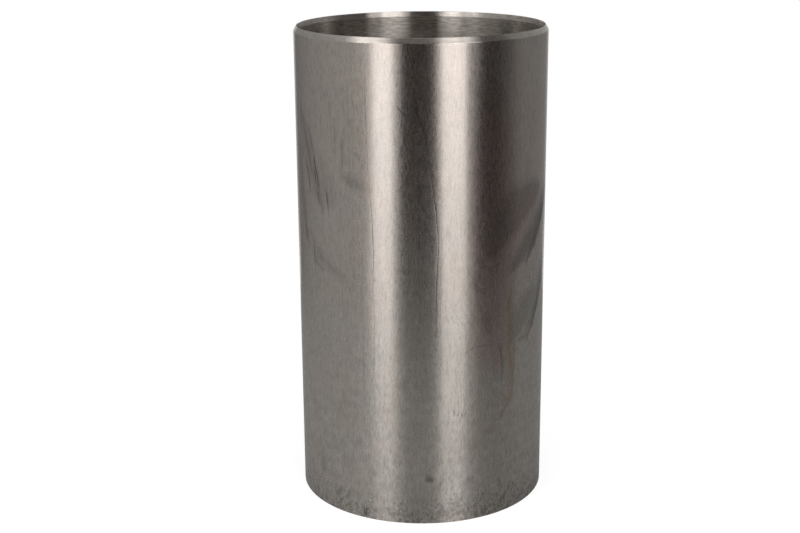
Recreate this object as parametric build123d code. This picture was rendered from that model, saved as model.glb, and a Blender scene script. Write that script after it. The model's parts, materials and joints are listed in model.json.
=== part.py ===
from build123d import *

import os

# A dry cylinder liner: one thin-walled sleeve of grey iron, which is pressed into an engine block to
# give the piston its bore. It is turned and ground from a single casting, with no flange, groove or
# port. It stands on its plain end with the lead-in end up.
# Millimetres. +Z is the axis of the bore, and the origin is the centre of the foot's flat face.

# The sleeve
bore_diameter = 100.0
wall = 1.8
length = 197.6

# Lead-in end: a steep cone outside, which starts the liner in the block, and a slight cone in the
# bore, which closes the piston rings. They leave a narrow flat land between them.
press_lead_depth = 2.1
ring_lead_depth = 2.1
ring_lead_relief = 0.36
land_width = 0.22
run_out_radius = 0.6  # where each cone blends into its cylinder

# Plain end: both corners are broken at 45 degrees
foot_outer_break = 0.3
foot_bore_break = 0.5

# Radii of the section's upright lines, from the axis outwards
bore_radius = bore_diameter / 2
land_inner_radius = bore_radius + ring_lead_relief
land_outer_radius = land_inner_radius + land_width
outer_radius = bore_radius + wall


def wall_section():
    """The liner's wall cut lengthwise, on the XZ plane, with each cone blended into its cylinder."""
    foot_bore_edge = (bore_radius + foot_bore_break, 0)
    foot_outer_edge = (outer_radius - foot_outer_break, 0)
    outer_wall_start = (outer_radius, foot_outer_break)
    press_lead_start = (outer_radius, length - press_lead_depth)
    land_outer_edge = (land_outer_radius, length)
    land_inner_edge = (land_inner_radius, length)
    ring_lead_end = (bore_radius, length - ring_lead_depth)
    bore_end = (bore_radius, foot_bore_break)
    outline = Polyline(
        foot_bore_edge,
        foot_outer_edge,
        outer_wall_start,
        press_lead_start,
        land_outer_edge,
        land_inner_edge,
        ring_lead_end,
        bore_end,
        close=True,
    )
    section = make_face(outline)
    corners = section.vertices()
    run_outs = [corners.sort_by_distance(spot)[0] for spot in (press_lead_start, ring_lead_end)]
    return Plane.XZ * fillet(run_outs, run_out_radius)


def make_liner():
    """The whole sleeve, turned about the bore's axis."""
    return revolve(wall_section(), axis=Axis.Z)


def save(part, node):
    """Writes one sub-part to a STEP file that carries its name."""
    part.label = node
    export_step(part, f"parts/{node}.step")
    print(f"{node}: {part.volume:.0f} cubic mm, {len(part.faces())} faces")


os.makedirs("parts", exist_ok=True)
save(make_liner(), "liner")
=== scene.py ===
import json
import math

import bmesh
import bpy
from mathutils import Euler, Matrix, Vector


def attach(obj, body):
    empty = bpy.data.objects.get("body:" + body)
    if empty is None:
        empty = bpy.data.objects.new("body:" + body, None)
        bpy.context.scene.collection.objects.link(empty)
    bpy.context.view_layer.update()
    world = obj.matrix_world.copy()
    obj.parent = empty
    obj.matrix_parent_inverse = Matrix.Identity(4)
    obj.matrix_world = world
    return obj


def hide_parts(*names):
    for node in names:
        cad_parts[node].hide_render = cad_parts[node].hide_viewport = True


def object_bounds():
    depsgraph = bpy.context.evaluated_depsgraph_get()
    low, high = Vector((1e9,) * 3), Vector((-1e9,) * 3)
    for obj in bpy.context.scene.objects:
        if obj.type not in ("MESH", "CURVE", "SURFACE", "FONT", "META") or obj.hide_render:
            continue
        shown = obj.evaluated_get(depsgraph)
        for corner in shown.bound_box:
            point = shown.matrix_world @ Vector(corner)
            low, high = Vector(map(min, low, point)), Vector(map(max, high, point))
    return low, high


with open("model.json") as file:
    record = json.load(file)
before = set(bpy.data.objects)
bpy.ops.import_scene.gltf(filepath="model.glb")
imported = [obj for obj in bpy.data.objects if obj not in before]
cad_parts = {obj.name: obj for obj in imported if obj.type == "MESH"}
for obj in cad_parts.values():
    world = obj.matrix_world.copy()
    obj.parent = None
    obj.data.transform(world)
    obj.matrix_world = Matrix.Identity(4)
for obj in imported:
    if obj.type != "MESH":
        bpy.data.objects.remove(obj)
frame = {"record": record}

MM = 0.001
cad_low, cad_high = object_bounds()

# ---------------------------------------------------------------- sizes of the liner, in metres
OUTER_RADIUS = cad_high.x
LENGTH = cad_high.z
BORE_RADIUS = next(m for m in frame["record"]["mounts"] if m["name"] == "bore")["dims"]["r_mm"] * MM
LEAD_DEPTH = 2.1 * MM          # both lead-in cones, down from the top
RING_LEAD_RELIEF = 0.36 * MM
LAND_WIDTH = 0.22 * MM
RUN_OUT_RADIUS = 0.6 * MM
FOOT_OUTER_BREAK = 0.3 * MM
FOOT_BORE_BREAK = 0.5 * MM
KEEN_EDGE_RADIUS = 0.10 * MM   # what a wiped file leaves on a turned corner
ROUND_STEPS = 4
STEPS_AROUND = 512
WALL_ROW = 6 * MM              # spacing of the rows along a straight wall
SUPPORT = 0.12 * MM            # a row this far from each rounded corner keeps the walls flat
ON_A_WALL = 1e-6               # slack when telling a plain wall from an edge

# ---------------------------------------------------------------- colours of the metal
IRON = (0.58, 0.53, 0.485, 1)
WARM_IRON = (0.600, 0.530, 0.484, 1)
COOL_IRON = (0.586, 0.533, 0.492, 1)
BROWN_IRON = (0.573, 0.460, 0.422, 1)
DRIED_OIL = (0.46, 0.335, 0.235, 1)


def rounded(before, corner, after, radius):
    """Points of the arc that blends a section's corner, with a support point at each end."""
    to_before = (before - corner).normalized()
    to_after = (after - corner).normalized()
    half_angle = to_before.angle(to_after) / 2
    reach = radius / math.tan(half_angle)
    middle = corner + (to_before + to_after).normalized() * (radius / math.sin(half_angle))
    start = corner + to_before * reach - middle
    end = corner + to_after * reach - middle
    turn = start.angle_signed(end)
    points = [corner + to_before * (reach + SUPPORT)]
    for step in range(ROUND_STEPS + 1):
        points.append(middle + Matrix.Rotation(-turn * step / ROUND_STEPS, 2) @ start)
    points.append(corner + to_after * (reach + SUPPORT))
    return points


def rows_between(start, end):
    """Evenly spaced points between two outline points, on a long run only."""
    count = int((end - start).length / WALL_ROW)
    return [start.lerp(end, step / (count + 1)) for step in range(1, count + 1)]


def liner_section():
    """The wall's outline as (radius, height) points, anticlockwise from the foot."""
    top = LENGTH
    corners = [
        (BORE_RADIUS + FOOT_BORE_BREAK, 0, KEEN_EDGE_RADIUS),
        (OUTER_RADIUS - FOOT_OUTER_BREAK, 0, KEEN_EDGE_RADIUS),
        (OUTER_RADIUS, FOOT_OUTER_BREAK, KEEN_EDGE_RADIUS),
        (OUTER_RADIUS, top - LEAD_DEPTH, RUN_OUT_RADIUS),
        (BORE_RADIUS + RING_LEAD_RELIEF + LAND_WIDTH, top, KEEN_EDGE_RADIUS),
        (BORE_RADIUS + RING_LEAD_RELIEF, top, KEEN_EDGE_RADIUS),
        (BORE_RADIUS, top - LEAD_DEPTH, RUN_OUT_RADIUS),
        (BORE_RADIUS, FOOT_BORE_BREAK, KEEN_EDGE_RADIUS),
    ]
    spots = [Vector((radius, height)) for radius, height, _ in corners]
    outline = []
    for i, (_, _, edge) in enumerate(corners):
        arc = rounded(spots[i - 1], spots[i], spots[(i + 1) % len(spots)], edge)
        if outline:
            outline += rows_between(outline[-1], arc[0])
        outline += arc
    return outline + rows_between(outline[-1], outline[0])


def finish_of(start, end):
    """Which finish a run of the section has: 0 ground outside, 1 turned, 2 honed bore."""
    if min(start.x, end.x) > OUTER_RADIUS - ON_A_WALL:
        return 0
    if max(start.x, end.x) < BORE_RADIUS + ON_A_WALL:
        return 2
    return 1


def make_liner(finishes):
    """The sleeve, turned from its section."""
    mesh = bpy.data.meshes.new("liner_sleeve")
    bm = bmesh.new()
    rings = []
    section = liner_section()
    for radius, height in section:
        ring = []
        for step in range(STEPS_AROUND):
            angle = 2 * math.pi * step / STEPS_AROUND
            ring.append(bm.verts.new((radius * math.sin(angle), radius * math.cos(angle), height)))
        rings.append(ring)
    for i, ring in enumerate(rings):
        following = (i + 1) % len(rings)
        after = rings[following]
        finish = finish_of(section[i], section[following])
        for step in range(STEPS_AROUND):
            ahead = (step + 1) % STEPS_AROUND
            face = bm.faces.new((ring[step], after[step], after[ahead], ring[ahead]))
            face.material_index = finish
    bmesh.ops.recalc_face_normals(bm, faces=bm.faces)
    bm.to_mesh(mesh)
    bm.free()
    mesh.shade_smooth()
    for material in finishes:
        mesh.materials.append(material)
    liner = bpy.data.objects.new("liner_sleeve", mesh)
    bpy.context.scene.collection.objects.link(liner)
    return liner


# ---------------------------------------------------------------- shader building blocks
def add(tree, kind, inputs=None, **settings):
    """A shader node with its settings made and its named inputs set or linked."""
    node = tree.nodes.new("ShaderNode" + kind)
    for name, value in settings.items():
        setattr(node, name, value)
    for name, value in (inputs or {}).items():
        join(tree, value, node.inputs[name])
    return node


def join(tree, value, socket):
    """Links an output to the socket, or sets the socket to a plain value."""
    if isinstance(value, bpy.types.NodeSocket):
        tree.links.new(value, socket)
    else:
        socket.default_value = value


def maths(tree, operation, *values):
    """The result of one arithmetic step on plain values or outputs."""
    node = tree.nodes.new("ShaderNodeMath")
    node.operation = operation
    for socket, value in zip(node.inputs, values):
        join(tree, value, socket)
    return node.outputs[0]


def ramp(tree, value, start, end, low=0.0, high=1.0):
    """The value eased from low at start to high at end."""
    ease = add(tree, "MapRange", {
        "Value": value, "From Min": start, "From Max": end, "To Min": low, "To Max": high,
    }, interpolation_type="SMOOTHSTEP")
    return ease.outputs["Result"]


def strongest(tree, masks):
    """The highest of several masks at each point."""
    most = masks[0]
    for mask in masks[1:]:
        most = maths(tree, "MAXIMUM", most, mask)
    return most


def new_group(name, inputs, outputs):
    """An empty shader node group with number sockets; its inner start and end come back with it."""
    tree = bpy.data.node_groups.new(name, "ShaderNodeTree")
    for label, value in inputs.items():
        socket = tree.interface.new_socket(name=label, in_out="INPUT", socket_type="NodeSocketFloat")
        socket.default_value = value
    for label in outputs:
        tree.interface.new_socket(name=label, in_out="OUTPUT", socket_type="NodeSocketFloat")
    given = tree.nodes.new("NodeGroupInput").outputs
    result = tree.nodes.new("NodeGroupOutput").inputs
    return tree, given, result


def place(tree, group, inputs=None):
    """A node group set down in a material with its own values; its outputs come back."""
    node = tree.nodes.new("ShaderNodeGroup")
    node.node_tree = group
    for name, value in (inputs or {}).items():
        join(tree, value, node.inputs[name])
    return node.outputs


def wall_place_group():
    """Where a point is on the sleeve: millimetres around from the front, and up from the foot."""
    tree, given, result = new_group("wall_place", {"Radius": 51.8}, ["Around", "Height"])
    place_xyz = add(tree, "SeparateXYZ", {"Vector": add(tree, "TexCoord").outputs["Object"]}).outputs
    angle = maths(tree, "ARCTAN2", place_xyz["X"], maths(tree, "MULTIPLY", place_xyz["Y"], -1.0))
    join(tree, maths(tree, "MULTIPLY", angle, given["Radius"]), result["Around"])
    join(tree, maths(tree, "MULTIPLY", place_xyz["Z"], 1000.0), result["Height"])
    return tree


def grain_group():
    """Cloudy grain drawn out to a size around the sleeve and a size up it, in millimetres."""
    sizes = {"Size Around": 1.0, "Size Up": 1.0, "Detail": 2.0}
    tree, given, result = new_group("drawn_grain", sizes, ["Grain"])
    around = maths(tree, "DIVIDE", 1000.0, given["Size Around"])
    up = maths(tree, "DIVIDE", 1000.0, given["Size Up"])
    stretch = add(tree, "CombineXYZ", {"X": around, "Y": around, "Z": up})
    spot = add(tree, "VectorMath", operation="MULTIPLY")
    tree.links.new(add(tree, "TexCoord").outputs["Object"], spot.inputs[0])
    tree.links.new(stretch.outputs[0], spot.inputs[1])
    cloud = add(tree, "TexNoise", {"Vector": spot.outputs[0], "Scale": 1.0, "Detail": given["Detail"]})
    join(tree, cloud.outputs["Fac"], result["Grain"])
    return tree


def fleck_group():
    """Scattered specks of random size."""
    inputs = {"Spacing": 5.0, "Largest": 0.6, "Edge": 0.15}
    tree, given, result = new_group("flecks", inputs, ["Mask"])
    scale = maths(tree, "DIVIDE", 1000.0, given["Spacing"])
    cells = add(tree, "TexVoronoi", {"Vector": add(tree, "TexCoord").outputs["Object"], "Scale": scale})
    chance = add(tree, "SeparateColor", {"Color": cells.outputs["Color"]}).outputs[0]
    reach = maths(tree, "MULTIPLY", maths(tree, "POWER", chance, 3.0), given["Largest"])
    distance = maths(tree, "MULTIPLY", cells.outputs["Distance"], given["Spacing"])
    depth = maths(tree, "DIVIDE", maths(tree, "SUBTRACT", reach, distance), given["Edge"])
    join(tree, maths(tree, "MINIMUM", maths(tree, "MAXIMUM", depth, 0.0), 1.0), result["Mask"])
    return tree


def stroke_group():
    """A bowed smear between two places on the wall: one side crisp, the other fading, thin at its ends."""
    inputs = {
        "Around": 0.0, "Height": 0.0, "From Around": 0.0, "From Height": 0.0,
        "To Around": 1.0, "To Height": 0.0, "Bow": 0.0, "Half Width": 1.0,
        "Left Edge": 0.5, "Right Edge": 0.5, "Strength": 1.0,
    }
    tree, given, result = new_group("stroke", inputs, ["Mask"])
    run_x = maths(tree, "SUBTRACT", given["To Around"], given["From Around"])
    run_y = maths(tree, "SUBTRACT", given["To Height"], given["From Height"])
    x = maths(tree, "SUBTRACT", given["Around"], given["From Around"])
    y = maths(tree, "SUBTRACT", given["Height"], given["From Height"])
    square = maths(tree, "MULTIPLY_ADD", run_x, run_x, maths(tree, "MULTIPLY", run_y, run_y))
    along = maths(tree, "MULTIPLY_ADD", x, run_x, maths(tree, "MULTIPLY", y, run_y))
    part = maths(tree, "DIVIDE", along, square)
    part = maths(tree, "MINIMUM", maths(tree, "MAXIMUM", part, 0.0), 1.0)
    hump = maths(tree, "MULTIPLY", part, maths(tree, "SUBTRACT", 1.0, part))
    hump = maths(tree, "MULTIPLY", hump, 4.0)
    aside = maths(tree, "SUBTRACT", maths(tree, "MULTIPLY", x, run_y), maths(tree, "MULTIPLY", y, run_x))
    aside = maths(tree, "DIVIDE", aside, maths(tree, "SQRT", square))
    off = maths(tree, "SUBTRACT", aside, maths(tree, "MULTIPLY", hump, given["Bow"]))
    width = maths(tree, "MULTIPLY", maths(tree, "POWER", hump, 0.4), given["Half Width"])
    left = maths(tree, "DIVIDE", maths(tree, "ADD", width, off), given["Left Edge"])
    right = maths(tree, "DIVIDE", maths(tree, "SUBTRACT", width, off), given["Right Edge"])
    right = maths(tree, "POWER", maths(tree, "MAXIMUM", right, 0.0), 1.6)
    depth = maths(tree, "MINIMUM", maths(tree, "MINIMUM", left, right), 1.0)
    depth = maths(tree, "MAXIMUM", depth, 0.0)
    join(tree, maths(tree, "MULTIPLY", depth, given["Strength"]), result["Mask"])
    return tree


# Handling marks on the wall, with a few broad strokes of painted shade, in mm: (from around, from height,
# to around, to height, bow, half width, edge on the left of the way it runs, edge on its right, strength).
# A positive bow bulges to the right.
OIL_MARKS_AND_SHADE = [
    (72, 137, 47, 105, 2.9, 7.4, 2.2, 10.5, 0.62),
    (72, 137, 56, 113, 1.0, 5.1, 1.3, 8.0, 0.86),
    # Painted shade: this broad soft stroke darkens the zone between the dark reflected band and the marks
    # on the right.
    (64, 128, 38, 104, 0, 7.0, 3.0, 7.0, 0.40),
    (72, 112, 48, 71.5, 0.3, 5.4, 1.0, 11.0, 0.88),
    (53, 75, 43, 73.5, -0.5, 1.8, 1.5, 2.5, 0.35),
    # Painted shade: this broad soft stroke darkens that zone too.
    (62, 137, 26, 112, 6.0, 12.0, 5.0, 8.0, 0.32),
    (62, 94, 38, 74, 3.0, 8.0, 3.0, 6.0, 0.24),
    (48, 91, 42, 73, 0.5, 3.2, 1.5, 3.5, 0.22),
    (24, 137, 37, 128, 0, 6.0, 5.0, 5.0, 0.10),
    (-56, 118, -30, 101, 3.0, 4.0, 3.0, 5.0, 0.20),
    (-52, 109, -44, 102.5, 1.0, 1.4, 0.8, 1.5, 0.25),
    (-34, 143.5, -22, 139, 0, 4.0, 3.0, 3.0, 0.20),
    (-60, 165, -44, 126, 0, 7.0, 4.0, 5.0, 0.20),
    (-64, 155, -57, 112, 1.5, 3.6, 2.5, 3.5, 0.22),
    (-46, 150, -38, 128, 0, 6.0, 4.0, 4.0, 0.12),
    (27, 90, 28, 79, 0, 4.0, 3.0, 3.0, 0.16),
    (21.5, 107, 22, 95, 0, 1.6, 1.5, 1.5, 0.20),
    (-49, 21, -47, 14, 0, 3.0, 2.5, 2.5, 0.18),
    (0.2, 20.4, 4.8, 19.2, 0, 2.4, 2.0, 2.0, 0.50),
    (6.8, 18.2, 8.6, 17.6, 0, 1.3, 1.2, 1.2, 0.34),
    (18, 19.5, 23, 17, 0, 2.4, 2.4, 2.4, 0.24),
    (33, 16, 36, 10, 0, 2.2, 2.2, 2.2, 0.24),
    (12.5, 49.4, 12.7, 46.6, 0, 0.42, 0.3, 0.3, 0.60),
    (14.4, 48.0, 14.5, 46.4, 0, 0.38, 0.3, 0.3, 0.45),
    (15.8, 47.6, 16.0, 45.7, 0, 0.42, 0.3, 0.3, 0.55),
    (17.4, 47.8, 17.6, 45.9, 0, 0.36, 0.3, 0.3, 0.40),
    (19.1, 47.0, 19.3, 45.5, 0, 0.36, 0.3, 0.3, 0.40),
]
# The same, for rubbed marks that the wall's grain breaks up into strands.
RUBBED_MARKS = [
    (-54, 163, -45, 129, -0.5, 0.9, 0.9, 0.9, 0.75),
    (-52.5, 158, -46, 131, -0.8, 0.6, 0.6, 0.6, 0.60),
    (-57.5, 148, -53, 133, 0, 1.0, 0.9, 0.9, 0.70),
    (-50.5, 146, -46.5, 129, 0, 0.9, 0.8, 0.8, 0.65),
    (-47.5, 140, -44.5, 127, 0, 0.6, 0.6, 0.6, 0.50),
    (-42, 139, -41, 126, 0, 0.9, 0.9, 0.9, 0.60),
    (-56, 157, -49.5, 137, 0.4, 0.7, 0.7, 0.7, 0.60),
    (-59, 164, -54, 148, 0.4, 0.6, 0.6, 0.6, 0.50),
    (-62, 170, -61, 159, 0, 1.2, 0.9, 0.9, 0.60),
    (-61, 154, -60, 146, 0, 1.0, 0.9, 0.9, 0.60),
    (-59, 128, -57.6, 113, 0, 1.3, 0.9, 0.9, 0.70),
    (-56.8, 119, -55, 109, 0.3, 0.7, 0.7, 0.7, 0.50),
    (-51.5, 114, -50.5, 101, 0, 0.9, 0.9, 0.9, 0.65),
    (-49.3, 110, -48.7, 102, 0, 0.6, 0.6, 0.6, 0.50),
    (-39, 173, -38, 160, 0, 0.8, 0.8, 0.8, 0.40),
    (-36.5, 166, -36, 150, 0, 0.6, 0.6, 0.6, 0.35),
    (-33, 160, -32.5, 146, 0, 0.8, 0.8, 0.8, 0.40),
    (33.0, 75, 34.0, 57, -1.8, 1.3, 0.9, 1.4, 0.42),
    (15, 71.8, 31, 74, -1.8, 0.7, 0.7, 0.7, 0.42),
    (14, 70, 13.6, 62, 0.8, 0.6, 0.6, 0.6, 0.25),
    (-24.4, 5.4, -24.4, 0.6, 0, 1.2, 0.6, 0.6, 0.70),
]
# The same, for fine scores.
HAIRLINES = [
    (-9, 172.5, -4.6, 167.8, 0.3, 0.5, 0.4, 0.4, 0.9),
    (-4, 173.4, 2, 157.5, -1.0, 0.45, 0.4, 0.4, 0.9),
    (1.4, 161, 6.2, 117.5, -0.5, 0.40, 0.35, 0.35, 1.0),
    (6.1, 124, 5, 72, -0.5, 0.42, 0.35, 0.35, 1.0),
    (1.2, 128, 5, 107, -0.2, 0.30, 0.3, 0.3, 0.7),
    (-1.5, 150, -0.5, 96, 0.2, 0.30, 0.3, 0.3, 0.5),
    (7.6, 140, 7.4, 60, 0, 0.30, 0.3, 0.3, 0.30),
    (-22, 190, -20.8, 144, 0.3, 0.35, 0.35, 0.35, 0.7),
    (-20.8, 148, -18.7, 88, 0, 0.35, 0.35, 0.35, 0.8),
    (-18.7, 93, -20, 58, 0, 0.32, 0.35, 0.35, 0.7),
    (-24.5, 120, -24, 50, 0, 0.30, 0.3, 0.3, 0.5),
    (-29.5, 178, -28.5, 120, 0.2, 0.28, 0.3, 0.3, 0.4),
]
# The same, for knocks on the rim.
RIM_NICKS = [
    (27.5, 196.3, 31.0, 196.7, 0, 0.5, 0.5, 0.5, 0.30),
    (109.0, 196.9, 114.0, 196.4, 0, 0.6, 0.5, 0.5, 0.34),
    (117.0, 197.3, 120.0, 197.1, 0, 0.4, 0.3, 0.3, 0.30),
    (-66.0, 196.8, -63.5, 196.9, 0, 0.4, 0.3, 0.3, 0.30),
    (-112.0, 196.2, -110.0, 196.5, 0, 0.4, 0.3, 0.3, 0.25),
]
# The same, for brown runs of dried oil.
BROWN_RUNS = [
    (42.6, 78, 40.5, 49, 0, 1.4, 0.8, 1.6, 0.95),
    (40.8, 54, 31.5, 41, -1.4, 1.4, 0.9, 1.8, 0.90),
    (33.0, 54, 40.8, 48.4, 0.3, 1.4, 1.0, 1.6, 0.70),
    (39.0, 100, 39.5, 48, 0, 3.0, 2.0, 2.4, 0.80),
    (-24, 194, -22, 118, 0, 4.0, 3.0, 3.0, 0.16),
]
# The same, for a smooth brown tint left by old oil.
OLD_OIL = [
    (29, 182, 32, 61, 0, 14.5, 6.0, 7.0, 0.95),
    (22, 90, 23, 66, 0, 8.0, 5.0, 5.0, 0.35),
    (60, 135, 34, 110, 4.0, 9.0, 3.0, 7.0, 0.85),
]


def iron_shader(name, roughness, drawn):
    """A bare metal material whose sheen is drawn out up the sleeve."""
    material = bpy.data.materials.new(name)
    material.use_nodes = True
    tree = material.node_tree
    shader = tree.nodes["Principled BSDF"]
    shader.inputs["Metallic"].default_value = 1
    shader.inputs["Roughness"].default_value = roughness
    shader.inputs["Anisotropic"].default_value = drawn
    shader.inputs["Anisotropic Rotation"].default_value = 0.25
    tangent = add(tree, "Tangent", direction_type="RADIAL", axis="Z")
    join(tree, tangent.outputs[0], shader.inputs["Tangent"])
    return material, tree, shader


def toned(tree, colour, tone):
    """The colour made lighter or darker by a number."""
    scale = add(tree, "VectorMath", operation="SCALE")
    join(tree, colour[:3] if isinstance(colour, tuple) else colour, scale.inputs[0])
    join(tree, tone, scale.inputs["Scale"])
    return scale.outputs[0]


def stained(tree, colour, stain, mask):
    """The colour with a stain over it where the mask is 1."""
    mix = add(tree, "Mix", data_type="RGBA")
    join(tree, mask, mix.inputs["Factor"])
    join(tree, colour, mix.inputs[6])
    join(tree, stain, mix.inputs[7])
    return mix.outputs[2]


def raised(tree, height):
    """A normal from a height in millimetres."""
    bump = add(tree, "Bump", {"Strength": 1.0, "Distance": 0.001, "Height": height})
    return bump.outputs[0]


def marks(tree, spot, strokes, aside=0.0, lift=0.0):
    """One mask for a list of strokes, with the wall shifted a little so that they aren't ruler-straight."""
    around = maths(tree, "ADD", spot["Around"], aside)
    up = maths(tree, "ADD", spot["Height"], lift)
    found = []
    for x0, y0, x1, y1, bow, half_width, left_edge, right_edge, strength in strokes:
        found.append(place(tree, STROKE, {
            "Around": around, "Height": up, "From Around": x0, "From Height": y0,
            "To Around": x1, "To Height": y1, "Bow": bow, "Half Width": half_width,
            "Left Edge": left_edge, "Right Edge": right_edge, "Strength": strength,
        })["Mask"])
    return strongest(tree, found)


def ground_outside():
    """Centreless-ground wall with short grain, handling smears, painted shade beside the dark band on the
    right, and grime at the foot.
    """
    material, tree, shader = iron_shader("ground_outside", 0.27, 0.9)
    spot = place(tree, WALL_PLACE, {"Radius": OUTER_RADIUS / MM})
    height = spot["Height"]

    def grain(around, up, detail=2.0):
        return place(tree, GRAIN, {"Size Around": around, "Size Up": up, "Detail": detail})["Grain"]

    fine = grain(0.6, 3.2)
    coarse = grain(1.3, 13.0)
    streak = grain(2.2, 55.0)
    cloud = grain(9.0, 7.0)
    mottle = grain(2.4, 3.2, 4.0)
    speckle = grain(1.1, 1.6, 3.0)
    patch = grain(16.0, 24.0)
    waver = maths(tree, "MULTIPLY_ADD", grain(5.0, 9.0, 4.0), 4.4, -2.2)
    sway = maths(tree, "MULTIPLY_ADD", grain(7.0, 6.0, 4.0), 4.0, -2.0)
    drift = maths(tree, "MULTIPLY_ADD", grain(14.0, 30.0), 2.4, -1.2)

    broken = ramp(tree, coarse, 0.38, 0.55, 0.2, 1.0)
    # This mask holds real handling marks and a few broad strokes of painted shade.
    oil_and_shade = marks(tree, spot, OIL_MARKS_AND_SHADE, waver, sway)
    rubbed = maths(tree, "MULTIPLY", marks(tree, spot, RUBBED_MARKS, drift, sway), broken)
    hairlines = marks(tree, spot, HAIRLINES, drift, 0.0)
    runs = maths(tree, "MULTIPLY", marks(tree, spot, BROWN_RUNS, waver, sway), broken)
    foot = ramp(tree, height, 22.0, 1.0, -0.2, 0.06)
    smudge = maths(tree, "MULTIPLY_ADD", cloud, 0.5, -0.25)
    dirt = maths(tree, "ADD", smudge, maths(tree, "ADD", speckle, foot))
    dirt = ramp(tree, dirt, 0.50, 0.68)
    dirt = maths(tree, "MULTIPLY", dirt, ramp(tree, height, 24.0, 14.0))
    flecks = place(tree, FLECKS, {"Spacing": 9.0, "Largest": 0.7, "Edge": 0.3})["Mask"]
    lower = ramp(tree, height, 100.0, 10.0, 0.35, 1.0)
    wave = maths(tree, "MULTIPLY_ADD", height, 1.12, maths(tree, "MULTIPLY", waver, 0.5))
    ripple = maths(tree, "MULTIPLY", maths(tree, "SINE", wave), ramp(tree, height, 80.0, 50.0, 0.0, 0.02))

    tone = maths(tree, "MULTIPLY_ADD", fine, 0.7, 0.65)
    tone = maths(tree, "ADD", tone, maths(tree, "MULTIPLY_ADD", coarse, 0.2, -0.10))
    tone = maths(tree, "ADD", tone, ripple)
    soft = maths(tree, "MULTIPLY_ADD", cloud, 0.25, -0.125)
    soft = maths(tree, "ADD", soft, maths(tree, "MULTIPLY_ADD", mottle, 0.50, -0.25))
    tone = maths(tree, "MULTIPLY_ADD", soft, lower, tone)
    ticks = ramp(tree, fine, 0.56, 0.70)
    for mask, depth in (
        (oil_and_shade, 1.0), (rubbed, 0.95), (hairlines, 0.55), (dirt, 0.38), (flecks, 0.35), (ticks, 0.14),
    ):
        tone = maths(tree, "MULTIPLY", tone, maths(tree, "MULTIPLY_ADD", mask, -depth, 1.0))
    # The hue drifts from warm near the top to cooler near the foot, in patches.
    hue_drift = maths(tree, "MULTIPLY_ADD", height, -0.001, maths(tree, "ADD", patch, 0.1))
    hue = stained(tree, WARM_IRON, COOL_IRON, ramp(tree, hue_drift, 0.38, 0.62))
    hue = stained(tree, hue, BROWN_IRON, marks(tree, spot, OLD_OIL, drift, sway))
    colour = toned(tree, hue, tone)
    join(tree, stained(tree, colour, DRIED_OIL, runs), shader.inputs["Base Color"])

    rough = maths(tree, "MULTIPLY_ADD", patch, 0.05, 0.193)
    rough = maths(tree, "MULTIPLY_ADD", fine, 0.105, rough)
    join(tree, maths(tree, "MULTIPLY_ADD", dirt, 0.08, rough), shader.inputs["Roughness"])
    lift = maths(tree, "MULTIPLY", streak, 0.005)
    lift = maths(tree, "MULTIPLY_ADD", hairlines, -0.010, lift)
    join(tree, raised(tree, lift), shader.inputs["Normal"])
    return material


def turned_edge():
    """Lead-in cones, land and foot: fine turning lines around."""
    material, tree, shader = iron_shader("turned_edge", 0.25, 0.85)
    lines = place(tree, GRAIN, {"Size Around": 60.0, "Size Up": 0.12})["Grain"]
    patches = place(tree, GRAIN, {"Size Around": 3.0, "Size Up": 1.5})["Grain"]
    tone = maths(tree, "MULTIPLY_ADD", lines, 0.30, 0.85)
    tone = maths(tree, "ADD", tone, maths(tree, "MULTIPLY_ADD", patches, 0.50, -0.25))
    spot = place(tree, WALL_PLACE, {"Radius": OUTER_RADIUS / MM})
    tone = maths(tree, "MULTIPLY", tone, maths(tree, "SUBTRACT", 1.0, marks(tree, spot, RIM_NICKS)))
    dots = place(tree, FLECKS, {"Spacing": 5.0, "Largest": 0.5, "Edge": 0.2})["Mask"]
    tone = maths(tree, "MULTIPLY", tone, maths(tree, "MULTIPLY_ADD", dots, -0.25, 1.0))
    join(tree, toned(tree, IRON, tone), shader.inputs["Base Color"])
    lift = maths(tree, "MULTIPLY", lines, 0.003)
    join(tree, raised(tree, lift), shader.inputs["Normal"])
    return material


def honed_bore():
    """Bore with the hone's fine lines around and a few darker bands. Its tone is a tenth darker than the
    outside's, as painted shade in the hollow.
    """
    material, tree, shader = iron_shader("honed_bore", 0.29, 1.0)
    lines = place(tree, GRAIN, {"Size Around": 3.2, "Size Up": 0.5, "Detail": 3.0})["Grain"]
    bands = place(tree, GRAIN, {"Size Around": 20.0, "Size Up": 2.5})["Grain"]
    # The tone averages 0.9 against the outside's 1.0. This is painted shade for the hollow bore, laid over
    # the hone's real lines.
    tone = maths(tree, "MULTIPLY_ADD", lines, 1.5, 0.15)
    tone = maths(tree, "ADD", tone, maths(tree, "MULTIPLY_ADD", bands, 0.4, -0.2))
    join(tree, toned(tree, IRON, tone), shader.inputs["Base Color"])
    lift = maths(tree, "MULTIPLY", lines, 0.004)
    join(tree, raised(tree, lift), shader.inputs["Normal"])
    return material


# ---------------------------------------------------------------- the studio
# Heights at which the ring of lamps and cards changes, in metres
LOW, LEVEL, EYE, OVER, HIGH = -0.8, 0.25, 0.38, 0.7, 2.4
REAR_FOOT, REAR_STEP = -0.15, 0.27
LAMP_FOOT = -0.12
LAMP_RADIUS = 0.95
CARD_RADIUS = 1.0
CARD_STEP = 3                  # degrees between the points of a card's edge
MAT_RADIUS = 0.31              # the floor's too
MAT_HOLE = 0.001
MAT_HEIGHT = 0.3 * MM
MAT_ROUGHNESS = 0.3
PAPER = (0.4, 0.4, 0.4, 1)
PAPER_GLOW = 0.77
WORLD_LIGHT = 0.5
CAMERA_BACK = 11.057 * OUTER_RADIUS
CAMERA_UP = 4.987 * OUTER_RADIUS
CAMERA_PITCH, CAMERA_YAW, CAMERA_ROLL = 0.2779, -0.0160, -0.0074
FOCAL_LENGTH = 1396.0 / 800 * 36
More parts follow.
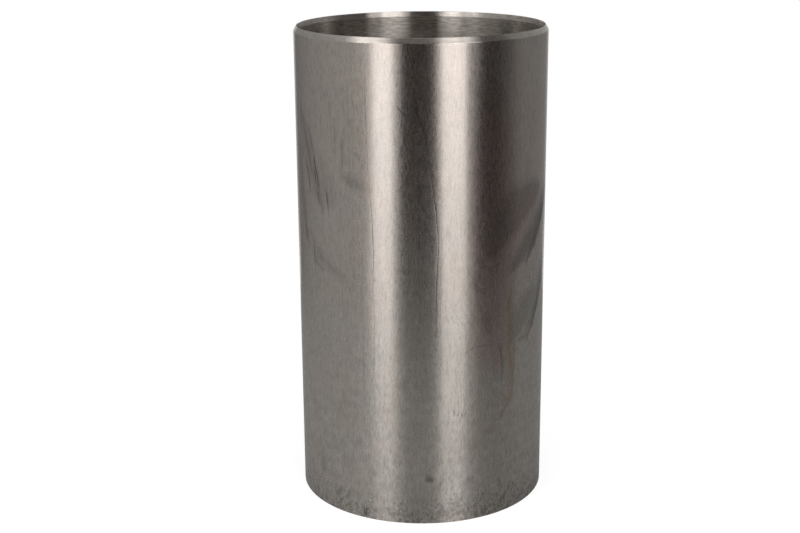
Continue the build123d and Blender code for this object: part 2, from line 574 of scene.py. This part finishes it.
# Soft boxes: (name, from azimuth, to azimuth, foot, top, radiance); each is wider further up
LAMPS = [
    ("left_softbox", -43, -25, LAMP_FOOT, LEVEL, 0.95),
    ("left_softbox_inner", -39, -18, LEVEL, EYE, 3.4),
    ("left_softbox_upper", -65, -17, EYE, OVER, 1.45),
    ("left_softbox_high", -78, -31, OVER, HIGH, 1.25),
    ("right_softbox", 18, 39.5, LAMP_FOOT, LEVEL, 1.06),
    ("right_softbox_inner", 12, 38.5, LEVEL, EYE, 3.4),
    ("right_softbox_upper", 13, 60, EYE, OVER, 1.45),
    ("right_softbox_high", 16, 62, OVER, HIGH, 1.25),
]
# Cards that only the metal sees: (name, from azimuth, to azimuth, foot, top, level at each end)
CARDS = [
    ("rear_wall", 156, 204, REAR_FOOT, REAR_STEP, 0.45, 0.55),
    ("rear_wall_upper", 156, 204, REAR_STEP, HIGH, 1.0, 1.0),
    ("rear_left_wall", -156, -115, LOW, LEVEL, 0.14, 0.29),
    ("left_wall", -115, -85, LOW, LEVEL, 0.29, 0.345),
    ("left_wall_inner", -85, -54, LOW, LEVEL, 0.345, 0.305),
    ("rear_left_wall_upper", -156, -95, LEVEL, HIGH, 0.25, 0.40),
    ("left_wall_upper", -95, -54, LEVEL, HIGH, 0.40, 0.55),
    ("left_lamp_rim", -54, -43, LOW, LEVEL, 0.25, 0.75),
    ("left_lamp_foot", -43, -25, LOW, LEVEL, 0.70, 0.70),
    ("left_lamp_edge", -25, -18, LOW, LEVEL, 0.50, 0.03),
    ("black_flag", -18, 15, LOW, LEVEL, 0.008, 0.008),
    ("black_flag_upper", -54, 48, LEVEL, HIGH, 0.03, 0.03),
    ("right_lamp_foot", 15, 36, LOW, LEVEL, 0.52, 0.52),
    ("right_lamp_rim", 36, 50, LOW, LEVEL, 0.60, 0.08),
    ("right_black_flag", 50, 70, LOW, LEVEL, 0.0, 0.02),
    ("right_black_flag_edge", 70, 100, LOW, LEVEL, 0.02, 0.19),
    ("right_black_flag_upper", 48, 92, LEVEL, HIGH, 0.03, 0.12),
    ("right_wall", 100, 156, LOW, LEVEL, 0.19, 0.22),
    ("right_wall_upper", 92, 156, LEVEL, HIGH, 0.24, 0.42),
]
# Satin mat around the foot, seen only in the metal: (name, from azimuth, to azimuth, tone)
MAT = [
    ("mat_left", -156, -30, 0.43),
    ("mat_front", -30, 26, 0.43),
    ("mat_right", 26, 156, 0.34),
    ("mat_rear", 156, 204, 0.90),
]


def glow_material(name):
    """Self-lit card whose light is painted on its corners."""
    material = bpy.data.materials.new(name)
    material.use_nodes = True
    tree = material.node_tree
    tree.nodes.clear()
    paint = add(tree, "Attribute", attribute_name="glow")
    glow = add(tree, "Emission", {"Color": paint.outputs["Color"]})
    end = add(tree, "OutputMaterial")
    join(tree, glow.outputs[0], end.inputs["Surface"])
    return material


def paint_glow(card, start_level, end_level):
    """Paints a card's light from one level to the other, a little warmer where it is dim."""
    mesh = card.data
    paint = mesh.color_attributes.new("glow", "FLOAT_COLOR", "POINT")
    half = len(mesh.vertices) // 2
    for i in range(len(mesh.vertices)):
        part = (i % half) / (half - 1)
        level = start_level + (end_level - start_level) * part
        paint.data[i].color = (level * 0.98 + 0.004, level, level - 0.001, 1)


def satin_material(name, tone):
    """Matt grey board with a soft sheen."""
    material = bpy.data.materials.new(name)
    material.use_nodes = True
    shader = material.node_tree.nodes["Principled BSDF"]
    shader.inputs["Base Color"].default_value = (tone * 0.97, tone, tone, 1)
    shader.inputs["Roughness"].default_value = MAT_ROUGHNESS
    return material


def make_card(name, rows, material):
    """A card through two rows of points, on the stage and seen only in polished metal."""
    mesh = bpy.data.meshes.new(name)
    bm = bmesh.new()
    edges = [[bm.verts.new(point) for point in row] for row in rows]
    for i in range(len(edges[0]) - 1):
        bm.faces.new((edges[0][i], edges[0][i + 1], edges[1][i + 1], edges[1][i]))
    bm.to_mesh(mesh)
    bm.free()
    mesh.materials.append(material)
    card = bpy.data.objects.new(name, mesh)
    bpy.context.scene.collection.objects.link(card)
    card.visible_camera = False
    card.visible_diffuse = False
    card.visible_shadow = False
    card.visible_transmission = False
    card.visible_volume_scatter = False
    return card


def arc(radius, start, end, height):
    """Points around the liner from one azimuth to another, 0 degrees in front and 90 at +X."""
    steps = max(2, int((end - start) / CARD_STEP))
    points = []
    for step in range(steps + 1):
        a = math.radians(start + (end - start) * step / steps)
        points.append((radius * math.sin(a), -radius * math.cos(a), height))
    return points


def make_lamp(name, start, end, foot, top, radiance):
    """A soft box that faces the liner between two azimuths."""
    half = math.radians((end - start) / 2)
    azimuth = math.radians((end + start) / 2)
    light = bpy.data.lights.new(name, "AREA")
    light.shape = "RECTANGLE"
    light.size = 2 * LAMP_RADIUS * math.tan(half)
    light.size_y = top - foot
    light.energy = math.pi * light.size * light.size_y * radiance
    lamp = bpy.data.objects.new(name, light)
    lamp.location = (LAMP_RADIUS * math.sin(azimuth), -LAMP_RADIUS * math.cos(azimuth), (foot + top) / 2)
    lamp.rotation_euler = (math.pi / 2, 0, azimuth)
    bpy.context.scene.collection.objects.link(lamp)
    lamp.visible_camera = False


def seen_plainly(tree):
    """1 where the camera, polished metal or glass looks, 0 for the light that falls on things."""
    path = add(tree, "LightPath").outputs
    return strongest(tree, [path["Is Camera Ray"], path["Is Glossy Ray"], path["Is Transmission Ray"]])


def make_floor():
    """White paper under the liner, which keeps its shadow."""
    mesh = bpy.data.meshes.new("floor")
    bm = bmesh.new()
    bmesh.ops.create_circle(bm, cap_ends=True, segments=128, radius=MAT_RADIUS)
    bm.to_mesh(mesh)
    bm.free()
    floor = bpy.data.objects.new("floor", mesh)
    bpy.context.scene.collection.objects.link(floor)
    material = bpy.data.materials.new("floor")
    material.use_nodes = True
    tree = material.node_tree
    tree.nodes.clear()
    paper = add(tree, "BsdfDiffuse", {"Color": PAPER})
    glow = add(tree, "Emission", {"Strength": maths(tree, "MULTIPLY", seen_plainly(tree), PAPER_GLOW)})
    both = add(tree, "AddShader")
    join(tree, paper.outputs[0], both.inputs[0])
    join(tree, glow.outputs[0], both.inputs[1])
    end = add(tree, "OutputMaterial")
    join(tree, both.outputs[0], end.inputs["Surface"])
    mesh.materials.append(material)


def make_world():
    """A white surround: plain where it is seen, and half as strong as light."""
    world = bpy.data.worlds.new("studio")
    bpy.context.scene.world = world
    world.use_nodes = True
    tree = world.node_tree
    tree.nodes.clear()
    level = maths(tree, "MULTIPLY_ADD", seen_plainly(tree), 1 - WORLD_LIGHT, WORLD_LIGHT)
    sky = add(tree, "Background", {"Color": (1, 1, 1, 1), "Strength": level})
    end = add(tree, "OutputWorld")
    join(tree, sky.outputs[0], end.inputs["Surface"])


def make_camera():
    """A long lens in front of the liner and a little above its rim."""
    data = bpy.data.cameras.new("camera")
    data.lens = FOCAL_LENGTH
    camera = bpy.data.objects.new("camera", data)
    bpy.context.scene.collection.objects.link(camera)
    camera.location = (0, -CAMERA_BACK, CAMERA_UP)
    aim = Euler((math.pi / 2 - CAMERA_PITCH, 0, -CAMERA_YAW)).to_matrix()
    aim = aim @ Matrix.Rotation(CAMERA_ROLL, 3, "Z")
    camera.rotation_euler = aim.to_euler()
    bpy.context.scene.camera = camera


WALL_PLACE = wall_place_group()
GRAIN = grain_group()
FLECKS = fleck_group()
STROKE = stroke_group()

liner = make_liner([ground_outside(), turned_edge(), honed_bore()])
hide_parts("liner")
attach(liner, "root")

make_floor()
make_world()
make_camera()
glow = glow_material("card_glow")
for name, start, end, foot, top, start_level, end_level in CARDS:
    rows = [arc(CARD_RADIUS, start, end, foot), arc(CARD_RADIUS, start, end, top)]
    paint_glow(make_card(name, rows, glow), start_level, end_level)
for name, start, end, tone in MAT:
    rows = [arc(MAT_HOLE, start, end, MAT_HEIGHT), arc(MAT_RADIUS, start, end, MAT_HEIGHT)]
    make_card(name, rows, satin_material(name, tone))
for lamp in LAMPS:
    make_lamp(*lamp)
bpy.context.scene.view_settings.view_transform = "Standard"
